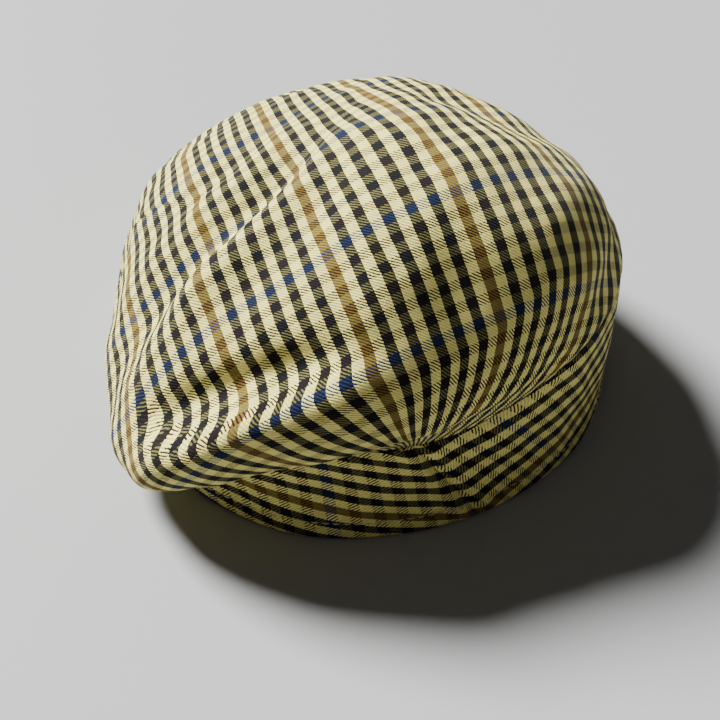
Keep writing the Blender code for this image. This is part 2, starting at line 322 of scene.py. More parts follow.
def fold_lines(table):
    """Sampled middle lines of folds with their widths and heights."""
    size = np.array([RIM_HALF_WIDTH, RIM_HALF_LENGTH, CROWN_HEIGHT])
    t = np.linspace(0.0, 1.0, FOLD_STEPS)[:, None]
    lines = []
    for fold in table:
        a, b, c = np.array((fold.start, fold.middle, fold.end)) * size
        control = 2.0 * b - 0.5 * (a + c)
        line = a * (1.0 - t) ** 2 + 2.0 * control * t * (1.0 - t) + c * t * t
        lines.append((line, fold.width * RIM_HALF_WIDTH, fold.height * CROWN_HEIGHT))
    return lines


def folded(p, lines):
    """Moves points in or out of the crown along fold lines."""
    size = np.array([RIM_HALF_WIDTH, RIM_HALF_LENGTH, CROWN_HEIGHT])
    out = p - np.array(FOLD_CENTRE) * size
    out = out / np.linalg.norm(out, axis=-1, keepdims=True)
    move = np.zeros(p.shape[:-1])
    for line, width, height in lines:
        away = ((p[..., None, :] - line) ** 2).sum(-1)
        nearest = away.min(-1)
        weight = np.exp((nearest[..., None] - away) / FOLD_BLEND ** 2)
        along = (weight * np.linspace(0.0, 1.0, FOLD_STEPS)).sum(-1) / weight.sum(-1)
        taper = np.sin(np.pi * np.clip(along, 0.0, 1.0))
        move += height * taper * np.exp(-nearest / width ** 2)
    return p + out * move[..., None]


def crown(direction, level):
    """Outer face of the crown: direction in degrees, level 0 foot to 6 top."""
    direction, level = np.broadcast_arrays(np.asarray(direction, float), np.asarray(level, float))
    column = round_sections(direction)
    below = 2.0 * column[..., 0, :] - column[..., 1, :]
    beyond = round_sections(direction + 180.0, 5)
    column = np.concatenate([below[..., None, :], column, beyond[..., None, :]], axis=-2)
    k = np.clip(np.floor(level).astype(int), 0, len(LEVEL_SHIFT) - 2)
    picks = [np.take_along_axis(column, (k + n)[..., None, None], axis=-2)[..., 0, :] for n in range(4)]
    p = spline(*picks, (level - k)[..., None])
    return folded(p, fold_lines(FOLDS))


def seam_level(direction):
    """Level of the seam between the top panel and a side panel."""
    drop = smooth(from_back(direction), SIDE_PANEL_END - SIDE_SEAM_DROP, SIDE_PANEL_END)
    return 1.0 - (1.0 - SIDE_SEAM_END_LEVEL) * drop


def grid_normals(grid, closed):
    """Outward unit normals of a grid of points, columns first."""
    if closed:
        along = np.roll(grid, -1, 0) - np.roll(grid, 1, 0)
    else:
        along = np.gradient(grid, axis=0)
    n = np.cross(np.gradient(grid, axis=1), along)
    return n / np.maximum(np.linalg.norm(n, axis=-1, keepdims=True), 1e-12)


def swell(p):
    """Soft unevenness of the cloth at points."""
    rise = np.zeros(p.shape[:-1])
    for wave in SWELLS:
        phase = p[..., 0] * wave.x + p[..., 1] * wave.y + p[..., 2] * wave.z + wave.start
        rise += wave.height * np.sin(phase)
    return rise


def run_length(grid):
    """Length along each column from its first row."""
    step = np.linalg.norm(np.diff(grid, axis=1), axis=-1)
    return np.concatenate([np.zeros((len(grid), 1)), np.cumsum(step, axis=1)], axis=1)


def relax(grid, flat, rounds):
    """Evens out a closed grid laid flat: cloth gathers easily but hardly stretches."""
    count, rows = grid.shape[:2]
    column, row = np.meshgrid(np.arange(count), np.arange(rows), indexing="ij")
    edges = []
    for dc, dr in ((1, 0), (0, 1), (1, 1), (1, -1)):
        keep = (row + dr >= 0) & (row + dr < rows)
        a = (column * rows + row)[keep]
        b = (((column + dc) % count) * rows + row + dr)[keep]
        edges.append(np.stack([a, b], 1))
    edges = np.concatenate(edges)
    points = grid.reshape(-1, 3)
    rest = np.linalg.norm(points[edges[:, 1]] - points[edges[:, 0]], axis=1)
    use = rest > 1e-6
    edges, rest = edges[use], rest[use]
    flat = flat.reshape(-1, 2).copy()
    total = count * rows
    valence = np.bincount(edges.ravel(), minlength=total)
    for _ in range(rounds):
        gap = flat[edges[:, 1]] - flat[edges[:, 0]]
        length = np.linalg.norm(gap, axis=1) + 1e-12
        give = np.where(length < rest, 0.5, 0.5 * GATHER_PULL)
        push = gap * ((length - rest) / length * give)[:, None]
        move = np.stack([
            np.bincount(edges[:, 0], push[:, k], total) - np.bincount(edges[:, 1], push[:, k], total)
            for k in (0, 1)], 1)
        flat += OVER_STEP * move / np.maximum(valence, 1)[:, None]
    return flat.reshape(count, rows, 2)


def refine(coarse, columns, rows):
    """Closed coarse grid of values read at fractional columns and rows."""
    coarse = np.concatenate([coarse, coarse[:1]])
    i = np.clip(np.floor(columns).astype(int), 0, len(coarse) - 2)
    j = np.clip(np.floor(rows).astype(int), 0, coarse.shape[1] - 2)
    s = (columns - i)[:, None, None]
    t = (rows - j)[None, :, None]
    i, j = i[:, None], j[None, :]
    low = coarse[i, j] * (1.0 - s) + coarse[i + 1, j] * s
    high = coarse[i, j + 1] * (1.0 - s) + coarse[i + 1, j + 1] * s
    return low * (1.0 - t) + high * t


def laid_out(grid, start):
    """Lays a closed grid of points out flat, from coarse steps to fine."""
    coarse, rounds = LAY_OUT_STEPS[0]
    flat = relax(grid[::coarse, ::coarse], start[::coarse, ::coarse], rounds)
    for step, rounds in LAY_OUT_STEPS[1:]:
        part = grid[::step, ::step]
        ratio = coarse / step
        flat = refine(flat, np.arange(part.shape[0]) / ratio, np.arange(part.shape[1]) / ratio)
        flat = relax(part, flat, rounds)
        coarse = step
    return flat


def on_grain(flat):
    x, y = flat[..., 0], flat[..., 1]
    terms = np.stack([np.ones_like(x), x, y, x * x, x * y, y * y], -1)
    spread = GRAIN_ALONG.along_twice * (np.maximum(y, GRAIN_FRONT) ** 2 - y * y)
    return np.stack([terms @ np.array(GRAIN_ACROSS), terms @ np.array(GRAIN_ALONG) + spread], -1)


def drawn(place, direction, length):
    """Place on the check with the slip and the gather above the back seam."""
    window = smooth(direction, *SLIP_COMES) * (1.0 - smooth(direction, *SLIP_GOES))
    u = place[..., 0] - SLIP * (1.0 - smooth(length, *SLIP_BAND)) * window[:, None]
    v = place[..., 1]
    middle = np.interp(BACK_SEAM_TOP, direction, u[:, 0])
    share = np.clip(length / DRAW_HEIGHT, 0.0, 1.0)
    power = DRAW_POWER + (1.0 - DRAW_POWER) * share * (DRAW_EASE - (DRAW_EASE - 1.0) * share)
    side = u - middle
    pulled = side * ((side ** 2 + DRAW_CORE ** 2) / DRAW_WIDTH ** 2) ** (0.5 * (power - 1.0))
    down = DRAW_HEIGHT * (1.0 - share)
    near = 1.0 - smooth(from_back(direction), *DRAW_FADE)[:, None]
    pulled = side + (pulled - side) * near
    run = np.hypot(down, pulled - side) - down
    return np.stack([middle + pulled, v + run], -1)


def arc_place(run, height, angles):
    angle = np.radians(angles[0] + (angles[1] - angles[0]) * run / run[-1])
    step = np.diff(run)
    turn = 0.5 * (angle[1:] + angle[:-1])
    x = np.concatenate([[0.0], np.cumsum(step * np.cos(turn))])
    y = np.concatenate([[0.0], np.cumsum(step * np.sin(turn))])
    along = x[:, None] - height * np.sin(angle)[:, None]
    across = y[:, None] + height * np.cos(angle)[:, None]
    return np.stack([across, along], -1)


def shell_faces(count, rows, closed, first=0, flip=False):
    """Quads of a grid whose points start at an index."""
    i = np.arange(count if closed else count - 1)
    j = (i + 1) % count
    k = np.arange(rows - 1)
    a = first + i[:, None] * rows + k
    b = first + j[:, None] * rows + k
    quads = np.stack([b, a, a + 1, b + 1], -1).reshape(-1, 4)
    return quads[:, ::-1] if flip else quads


def slab_faces(columns, rows):
    """Faces of a closed slab: an outer grid, then an inner one, and the edges."""
    size = columns * rows
    faces = [tuple(f) for f in shell_faces(columns, rows, False)]
    faces += [tuple(f) for f in shell_faces(columns, rows, False, size, True)]
    for i in range(columns - 1):
        a, b = i * rows, (i + 1) * rows
        faces.append((a, b, size + b, size + a))
        a, b = a + rows - 1, b + rows - 1
        faces.append((b, a, size + a, size + b))
    for k in range(rows - 1):
        faces.append((k + 1, k, size + k, size + k + 1))
        a = (columns - 1) * rows + k
        faces.append((a, a + 1, size + a + 1, size + a))
    return faces


def make_piece(name, points, faces, cloth, mat, *nodes):
    """Makes one object, with its place on the check, in the room of CAD nodes."""
    mesh = bpy.data.meshes.new(name)
    points = np.asarray(points) + np.array(RIM_CENTRE)
    mesh.from_pydata(points.tolist(), [], [tuple(int(n) for n in f) for f in faces])
    mesh.validate()
    if cloth is not None:
        layer = mesh.attributes.new("cloth", "FLOAT_VECTOR", "POINT")
        place = np.pad(np.asarray(cloth, np.float32), ((0, 0), (0, 1)))
        layer.data.foreach_set("vector", place.ravel())
    mesh.shade_smooth()
    mesh.update()
    obj = bpy.data.objects.new(name, mesh)
    obj.data.materials.append(mat)
    bpy.context.scene.collection.objects.link(obj)
    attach(obj, "root")
    if nodes:
        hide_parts(*nodes)


class Wire:
    """A shader socket that can be written in sums."""

    def __init__(self, tree, socket):
        self.tree = tree
        self.socket = socket

    def sum(self, operation, *values):
        node = self.tree.node("ShaderNodeMath", {"operation": operation}, dict(enumerate(values)))
        return Wire(self.tree, node.outputs[0])

    def __add__(self, other):
        return self.sum("ADD", self, other)

    def __sub__(self, other):
        return self.sum("SUBTRACT", self, other)

    def __mul__(self, other):
        return self.sum("MULTIPLY", self, other)

    def __truediv__(self, other):
        return self.sum("DIVIDE", self, other)

    def __radd__(self, other):
        return self.sum("ADD", other, self)

    def __rsub__(self, other):
        return self.sum("SUBTRACT", other, self)

    def __rmul__(self, other):
        return self.sum("MULTIPLY", other, self)

    def fract(self):
        return self.sum("FRACT", self)

    def absolute(self):
        return self.sum("ABSOLUTE", self)

    def ease(self, low, high):
        """0 below low and 1 above high, with an even change between."""
        node = self.tree.node(
            "ShaderNodeMapRange", {"interpolation_type": "SMOOTHSTEP"},
            {"Value": self, "From Min": low, "From Max": high})
        return Wire(self.tree, node.outputs[0])


class ClothTree:
    """Builds the node tree of one material."""

    def __init__(self, name):
        self.material = bpy.data.materials.new(name)
        self.material.use_nodes = True
        self.nodes = self.material.node_tree.nodes
        self.links = self.material.node_tree.links
        self.shader = self.nodes["Principled BSDF"]

    def node(self, kind, settings=None, values=None):
        """Adds a node, sets it up, then fills or links its sockets."""
        node = self.nodes.new(kind)
        for key, value in (settings or {}).items():
            if key == "stops":
                self.set_stops(node.color_ramp, value)
            else:
                setattr(node, key, value)
        for key, value in (values or {}).items():
            self.feed(node.inputs[key], value)
        return node

    def feed(self, socket, value):
        """Links a wire to a socket or sets its value."""
        if isinstance(value, Wire):
            self.links.new(value.socket, socket)
        else:
            socket.default_value = value

    def set_stops(self, ramp, stops):
        """Gives a ramp hard steps at places with colours."""
        ramp.interpolation = "CONSTANT"
        while len(ramp.elements) > 1:
            ramp.elements.remove(ramp.elements[-1])
        for n, (place, color) in enumerate(stops):
            stop = ramp.elements[0] if n == 0 else ramp.elements.new(place)
            stop.position = place
            stop.color = color

    def wire(self, node, output=0):
        """One output of a node, ready for expressions."""
        return Wire(self, node.outputs[output])

    def noise(self, vector, scale, detail=2.0, roughness=0.5):
        """Noise around zero, from about -0.5 to 0.5."""
        values = {"Vector": vector, "Scale": scale, "Detail": detail, "Roughness": roughness}
        return self.wire(self.node("ShaderNodeTexNoise", {}, values), "Fac") - 0.5

    def mix(self, factor, first, second, blend="MIX"):
        """Mixes two colours."""
        settings = {"data_type": "RGBA", "blend_type": blend}
        return self.wire(self.node("ShaderNodeMix", settings, {0: factor, 6: first, 7: second}), 2)

    def grain(self, vector, noise):
        """Noise of a scale and detail, as far as it reaches."""
        return self.noise(vector, noise.scale, noise.detail) * noise.reach


def linear(color):
    """Linear light from screen colours of 0 to 255."""
    c = np.array(color) / 255.0
    return tuple(float(x) for x in np.where(c <= 0.04045, c / 12.92, ((c + 0.055) / 1.055) ** 2.4))


# Yarn and thread colours
CREAM = linear((250, 238, 140))
CAMEL = linear((118, 92, 28))
NAVY_BLACK = linear((9, 10, 17))
GREEN_BLACK = linear((14, 16, 6))
MAROON = linear((46, 18, 18))
BLUE = linear((14, 38, 84))
THREAD_DARK = linear((176, 166, 126))
THREAD_LIGHT = linear((214, 204, 164))

# Noise on the cloth: scale per metre, levels of detail, and how far it
# reaches: in metres for wavering yarns, otherwise as a share
Noise = namedtuple("Noise", ("scale", "detail", "reach"))
LENGTHWISE_WAVER = (Noise(90.0, 2.0, 0.0011), Noise(1400.0, 2.0, 0.00035))
CROSSWISE_WAVER = (Noise(110.0, 2.5, 0.0011), Noise(1250.0, 2.0, 0.00035))
MOTTLE = (Noise(420.0, 3.0, 0.35), Noise(45.0, 2.0, 0.22))
MATT = Noise(300.0, 2.0, 0.12)
FUZZ = Noise(2600.0, 2.0, 0.8)
TWIST_SCALE = 2400.0

# Height across a twill rib over which the crosswise yarn comes up
RIB_TURN = (0.38, 0.72)

# Shader values that are the same all over
CLOTH_ROUGHNESS = 0.86
CLOTH_SHEEN = 0.05
CLOTH_SHEEN_ROUGHNESS = 0.5
CLOTH_SPECULAR = 0.15
RIB_STRENGTH = 0.8
THREAD_ROUGHNESS = 0.7
FLOOR_ROUGHNESS = 0.7


def color_property(name, description, default):
    """A colour setting."""
    return bpy.props.FloatVectorProperty(
        name=name, description=description, subtype="COLOR", size=3, min=0.0, max=1.0, default=default)


def length_property(name, description, default):
    """A length setting in metres."""
    return bpy.props.FloatProperty(
        name=name, description=description, subtype="DISTANCE", unit="LENGTH", min=0.0, default=default)


def share_property(name, description, default):
    """A share from 0 to 1."""
    return bpy.props.FloatProperty(
        name=name, description=description, subtype="FACTOR", min=0.0, max=1.0, default=default)


class CapClothSettings(bpy.types.PropertyGroup):
    """Sizes and colours of the checked twill."""

    stripe: length_property("Stripe", "Width of one stripe of the check", 0.00313)
    rib: length_property("Rib", "Distance from one twill rib to the next", 0.00105)
    rib_height: length_property("Rib Height", "Relief of the twill ribs", 0.00022)
    # The three covers darken the crosswise yarn sunk between the ribs: painted shade of the groove, and
    # beside dark or camel lengthwise yarns also their dark fibres. The keeps give how much of that darkening
    # a dark or blue crosswise yarn escapes.
    light_groove_shade: share_property("Light Cover", "Brightness of crosswise yarn between light yarns", 0.72)
    dark_fibre_and_shade: share_property("Dark Cover", "Brightness of crosswise yarn between dark yarns", 0.17)
    line_fibre_and_shade: share_property("Line Cover", "Brightness of crosswise yarn between camel yarns", 0.20)
    dark_keep: share_property("Dark Keep", "Brightness that dark crosswise yarn keeps anywhere", 0.3)
    blue_keep: share_property("Blue Keep", "Brightness that blue crosswise yarn keeps anywhere", 0.9)
    cream: color_property("Cream", "Ground yarn", CREAM)
    camel: color_property("Camel", "Lengthwise line yarn", CAMEL)
    navy: color_property("Navy Black", "First dark yarn", NAVY_BLACK)
    green: color_property("Green Black", "Second dark yarn", GREEN_BLACK)
    maroon: color_property("Maroon", "Crosswise dark yarn", MAROON)
    blue: color_property("Blue", "Crosswise line yarn", BLUE)


class CapSewingSettings(bpy.types.PropertyGroup):
    """Sizes of seams, hem and stitches."""

    seam_depth: length_property("Seam Depth", "How far the cloth dips into a seam", 0.0011)
    seam_reach: length_property("Seam Reach", "How wide the dip beside a seam is", 0.0018)
    seam_roll: share_property("Seam Roll", "Height of the roll beside the dip, as a share of its depth", 0.35)
    seam_roll_at: bpy.props.FloatProperty(
        name="Seam Roll At", description="Place of that roll, in widths of the dip", default=2.6)
    back_roll: length_property("Back Roll", "How far the side panels stand out beside the back seam", 0.0009)
    back_roll_at: length_property("Back Roll At", "Distance of that roll from the back seam", 0.004)
    back_roll_reach: length_property("Back Roll Reach", "How wide that roll is", 0.0035)
    hem_depth: length_property("Hem Depth", "Height of the hem's upper edge above the rim", 0.0075)
    hem_rise: length_property("Hem Rise", "How far the hem's doubled cloth stands out", 0.0005)
    hem_step: length_property("Hem Step", "Length over which the doubled cloth ends", 0.0014)
    hem_groove: length_property("Hem Groove", "How far the stitches pull the cloth in", 0.0005)
    hem_groove_reach: length_property("Hem Groove Reach", "How wide that groove is", 0.0008)
    hem_roll: length_property("Hem Roll", "How far the rim rolls in", 0.0009)
    hem_roll_reach: length_property("Hem Roll Reach", "How wide the rolled rim is", 0.0007)
    stitch_inset: length_property("Stitch Inset", "How far below the hem's upper edge stitches run", 0.0006)
    stitch_length: length_property("Stitch Length", "Length of one stitch", 0.0024)
    stitch_gap: length_property("Stitch Gap", "Gap between stitches", 0.0009)
    stitch_sink: length_property("Stitch Sink", "How far a stitch's ends sink into the cloth", 0.00005)
    first_stitch: length_property("First Stitch", "Distance of the first stitch from the panel's end", 0.002)
    thread: length_property("Thread", "Thickness of the thread", 0.0005)
    stitch_margin: length_property("Stitch Margin", "Cloth that the stitches need above the hem", 0.0015)


class CapStageSettings(bpy.types.PropertyGroup):
    """Floor, light and camera."""

    floor: color_property("Floor", "Colour of the floor", (0.36, 0.36, 0.36))
    floor_half: length_property("Floor Half", "Half the width of the floor", 30.0)
    key_strength: bpy.props.FloatProperty(
        name="Key Strength", description="Strength of the main light in watts per square metre", default=13.5)
    key_angle: bpy.props.FloatProperty(
        name="Key Angle", description="How wide the main light looks from the cap", subtype="ANGLE",
        unit="ROTATION", default=0.32)
    sky: bpy.props.FloatProperty(
        name="Sky", description="Strength of the even light from all round", default=0.08)
    lens: bpy.props.FloatProperty(
        name="Lens", description="Focal length in millimetres on a 36 mm sensor", default=50.15)


def lengthwise_row(cloth):
    """Lengthwise yarns of one repeat, each with how dark the crosswise yarn sunk beside it is made: painted
    shade of the groove, and beside dark or camel yarns also their dark fibres.
    """
    camel = (*cloth.camel, cloth.line_fibre_and_shade)
    cream = (*cloth.cream, cloth.light_groove_shade)
    navy = (*cloth.navy, cloth.dark_fibre_and_shade)
    green = (*cloth.green, cloth.dark_fibre_and_shade)
    return (camel, cream, navy, cream, green, cream, navy, cream, green, cream, navy, cream)


def crosswise_row(cloth):
    """Crosswise yarns of one repeat, each with the share of its brightness that it keeps against the painted
    groove shade and fibre darkening.
    """
    blue = (*cloth.blue, cloth.blue_keep)
    cream = (*cloth.cream, 0.0)
    maroon = (*cloth.maroon, cloth.dark_keep)
    navy = (*cloth.navy, cloth.dark_keep)
    return (blue, cream, maroon, cream, navy, cream, maroon, cream, navy, cream, maroon, cream)


def yarns(tree, row, place, stripe):
    """Colour and brightness of the yarn at a place, from one repeat's row."""
    stops = [(n / len(row), color) for n, color in enumerate(row)]
    ramp = tree.node("ShaderNodeValToRGB", {"stops": stops}, {0: (place / (stripe * len(row))).fract()})
    return tree.wire(ramp, "Color"), tree.wire(ramp, "Alpha")


def grey(tree, value):
    """A grey of a brightness."""
    return tree.wire(tree.node("ShaderNodeCombineColor", {}, {0: value, 1: value, 2: value}))


def check_material(name, cloth):
    """Checked twill: lengthwise and crosswise stripes shown through ribs, with painted shade on the crosswise
    yarn sunk between them.
    """
    tree = ClothTree(name)
    spot = tree.wire(tree.node("ShaderNodeAttribute", {"attribute_name": "cloth"}), "Vector")
    split = tree.node("ShaderNodeSeparateXYZ", {}, {0: spot})
    u, v = tree.wire(split, 0), tree.wire(split, 1)
    for noise in LENGTHWISE_WAVER:
        u = u + tree.grain(spot, noise)
    for noise in CROSSWISE_WAVER:
        v = v + tree.grain(spot, noise)
    warp, weft_fibre_and_shade = yarns(tree, lengthwise_row(cloth), u, cloth.stripe)
    weft, keep = yarns(tree, crosswise_row(cloth), v, cloth.stripe)
    rib = ((u + v) / cloth.rib).fract()
    ridge = (rib - 0.5).absolute() * 2.0
    # The crosswise yarn sunk between the ribs is darkened: painted shade of the groove, and beside dark or
    # camel lengthwise yarns also their dark fibres.
    weft_fibre_and_shade = weft_fibre_and_shade + (1.0 - weft_fibre_and_shade) * keep
    sunk = tree.mix(1.0, weft, grey(tree, weft_fibre_and_shade), "MULTIPLY")
    color = tree.mix(ridge.ease(*RIB_TURN), warp, sunk)
    fine, broad = (tree.grain(spot, noise) for noise in MOTTLE)
    color = tree.mix(1.0, color, grey(tree, fine + broad + 1.0), "MULTIPLY")
    tree.feed(tree.shader.inputs["Base Color"], color)
    tree.feed(tree.shader.inputs["Roughness"], CLOTH_ROUGHNESS + tree.grain(spot, MATT))
    height = (1.0 - ridge) + tree.grain(spot, FUZZ)
    relief = {"Strength": RIB_STRENGTH, "Distance": cloth.rib_height, "Height": height}
    tree.feed(tree.shader.inputs["Normal"], tree.wire(tree.node("ShaderNodeBump", {}, relief)))
    tree.shader.inputs["Sheen Weight"].default_value = CLOTH_SHEEN
    tree.shader.inputs["Sheen Roughness"].default_value = CLOTH_SHEEN_ROUGHNESS
    tree.shader.inputs["Specular IOR Level"].default_value = CLOTH_SPECULAR
    return tree.material


def thread_material(name):
    """Twisted sewing thread."""
    tree = ClothTree(name)
    place = tree.wire(tree.node("ShaderNodeNewGeometry"), "Position")
    color = tree.mix(tree.noise(place, TWIST_SCALE) + 0.5, (*THREAD_DARK, 1.0), (*THREAD_LIGHT, 1.0))
    tree.feed(tree.shader.inputs["Base Color"], color)
    tree.shader.inputs["Roughness"].default_value = THREAD_ROUGHNESS
    return tree.material


def cloth_material():
    """The check, made once and shared."""
    name = "check_twill"
    return bpy.data.materials.get(name) or check_material(name, bpy.context.scene.cap_cloth)


def dressed(grid, closed, sewing, roll_first=True, roll_last=False, hem=False):
    """Adds creases, swells, seam dips and the hem to a panel's outer face."""
    grid = folded(grid, fold_lines(CREASES))
    normal = grid_normals(grid, closed)
    length = run_length(grid)
    rise = swell(grid)
    tall = smooth(length[:, -1:], *LOW_PANEL)
    depth, reach = sewing.seam_depth, sewing.seam_reach
    if roll_first:
        rise = rise * smooth(length, 0.0, SWELL_EDGE)
        rise = rise - depth * bell(length, reach)
        rise = rise + sewing.seam_roll * depth * bell(length - sewing.seam_roll_at * reach, reach)
    if roll_last:
        back = length[:, -1:] - length
        rise = rise * smooth(back, 0.0, SWELL_EDGE)
        rise = rise - depth * bell(back, reach) * tall
    if hem:
        doubled = 1.0 - smooth(length, sewing.hem_depth, sewing.hem_depth + sewing.hem_step)
        groove = bell(length - sewing.hem_depth + sewing.stitch_inset, sewing.hem_groove_reach)
        rise = rise * smooth(length, 0.0, SWELL_HEM)
        rise = rise + (sewing.hem_rise * doubled - sewing.hem_groove * groove) * tall
        rise = rise - sewing.hem_roll * bell(length, sewing.hem_roll_reach) * tall
    outer = grid + normal * rise[..., None]
    outer[..., 2] = np.maximum(outer[..., 2], 0.0)
    return outer, normal, length


def calm(points, values):
    """Values near the crown's top replaced by an even sheet through them."""
    top = points[:, -1, :2].mean(0)
    x, y = np.moveaxis((points[..., :2] - top) / CALM_REACH, -1, 0)
    r = np.hypot(x, y)
    basis = np.stack([np.ones_like(x), x, y, x * x, x * y, y * y, x ** 3, x * x * y, x * y * y, y ** 3], -1)
    ring = (r > CALM_RING[0]) & (r < CALM_RING[1])
    sheet = basis @ np.linalg.lstsq(basis[ring], values[ring], rcond=None)[0]
    blend = smooth(r, CALM_RING[0], CALM_END)[..., None]
    return values * blend + sheet * (1.0 - blend)


def top_grid(direction):
    """Grid of the top panel's outer face, and which columns lap the peak."""
    start = np.where(from_back(direction) < SIDE_PANEL_END, seam_level(direction), 0.0)
    share = np.linspace(0.0, 1.0, TOP_ROWS + 1)[:-1]
    share = share * (TOP_CROWDING + (1.0 - TOP_CROWDING) * share)
    level = start[:, None] + (TOP_LEVEL - start[:, None]) * share
    grid = crown(np.repeat(direction[:, None], TOP_ROWS, 1), level)
    lap = from_back(direction) > SIDE_PANEL_END
    foot = foot_height(direction[lap], grid[lap, 0, 0])
    climb = foot[:, None] + LAP_CLIMB * np.minimum(run_length(grid[lap]), LAP_LENGTH)
    grid[lap, :, 2] = np.maximum(grid[lap, :, 2], climb)
    grid[lap, 0, 2] = foot
    grid[..., 2:] = calm(grid, grid[..., 2:])
    return grid, lap


class CAP_OT_top_panel(bpy.types.Operator):
    """Makes the one-piece top of the crown."""

    bl_idname = "cap.top_panel"
    bl_label = "Top Panel"

    def execute(self, context):
        direction = np.arange(TOP_COLUMNS) * 360.0 / TOP_COLUMNS
        grid, lap = top_grid(direction)
        outer, normal, length = dressed(grid, True, context.scene.cap_sewing)
        rest = foot_height(np.repeat(direction[:, None], TOP_ROWS, 1), outer[..., 0])
        outer[..., 2] = np.where(lap[:, None], np.maximum(outer[..., 2], rest), outer[..., 2])
        inner = outer[:, ::INNER_STEP] - CLOTH * normal[:, ::INNER_STEP]
        inner[lap, :, 2] = np.maximum(inner[lap, :, 2], rest[lap, ::INNER_STEP])
        inner[..., 2] = np.maximum(inner[..., 2], 0.0)
        tips = [outer[:, -1].mean(0), inner[:, -1].mean(0)]
        points = np.concatenate([outer.reshape(-1, 3), inner.reshape(-1, 3), tips])
        flat = calm(grid, laid_out(grid, toward(direction[:, None], length[:, -1:] - length)))
        spread = drawn(on_grain(flat), direction, length)
        middle = spread[:, -1].mean(0)
        under = spread[:, ::INNER_STEP]
        cloth = np.concatenate([spread.reshape(-1, 2), under.reshape(-1, 2), [middle, middle]])
        faces = self.faces(inner.shape[1])
        make_piece("crown_top", points, faces, cloth, cloth_material(), "top_panel")
        return {"FINISHED"}

    def faces(self, inner_rows):
        """Faces of both sides, the lower edge between them and the tips."""
        size = TOP_COLUMNS * TOP_ROWS
        tip = size + TOP_COLUMNS * inner_rows
        faces = [tuple(f) for f in shell_faces(TOP_COLUMNS, TOP_ROWS, True)]
        faces += [tuple(f) for f in shell_faces(TOP_COLUMNS, inner_rows, True, size, True)]
        for i in range(TOP_COLUMNS):
            j = (i + 1) % TOP_COLUMNS
            a, b = i * TOP_ROWS, j * TOP_ROWS
            c, d = size + i * inner_rows, size + j * inner_rows
            faces.append((a, b, d, c))
            faces.append((b + TOP_ROWS - 1, a + TOP_ROWS - 1, tip))
            faces.append((c + inner_rows - 1, d + inner_rows - 1, tip + 1))
        return faces


def side_grid(left):
    """Grid of a side panel, directions rising, from the foot up."""
    share_rows = np.linspace(0.0, 1.0, SIDE_ROWS)
    begin = BACK_SEAM_FOOT + (BACK_SEAM_TOP - BACK_SEAM_FOOT) * share_rows
    end = SIDE_PANEL_END if left else -SIDE_PANEL_END
    share = np.linspace(0.0, 1.0, SIDE_COLUMNS)[:, None]
    if not left:
        share = 1.0 - share
    direction = begin + (end - begin) * share
    grid = crown(direction, seam_level(direction) * share_rows)
    grid[..., 2] = np.maximum(grid[..., 2], SIDE_CLIMB * share_rows * grid[:, -1:, 2])
    grid[:, 0, 2] = 0.0
    return grid


